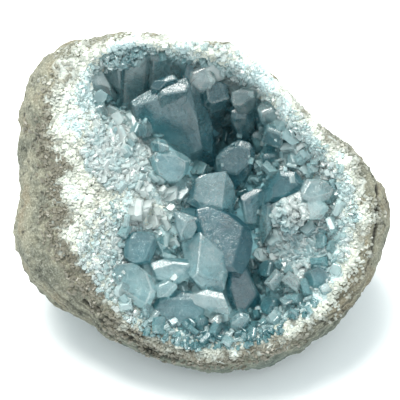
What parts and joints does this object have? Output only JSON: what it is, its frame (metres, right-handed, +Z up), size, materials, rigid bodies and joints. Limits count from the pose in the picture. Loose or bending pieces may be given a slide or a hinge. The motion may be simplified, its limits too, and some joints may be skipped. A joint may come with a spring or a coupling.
{
  "type": "celestite cluster",
  "caption": "Celestite geode piece: a rough limestone nodule with a hollow lined by pale blue, chisel-ended crystals that lean out of the broken side.",
  "frame": {"origin": "bottom centre of the bounding box, at the height of the flat spot that the nodule rests on", "axes": "+X to the right seen from the open side, the longest side of the box; -Y towards the open side, which leans back; +Z up"},
  "size_m": [0.1186, 0.0984, 0.0905],
  "materials": {
    "limestone": "rough granular limestone, grey-tan rind turning to a white sugary zone round the hollow",
    "celestite": "clear to milky pale blue crystal with glossy flat faces"
  },
  "bodies": {
    "root": {"matrix_rock": "limestone", "crystal_crust": "celestite"}
  },
  "joints": []
}
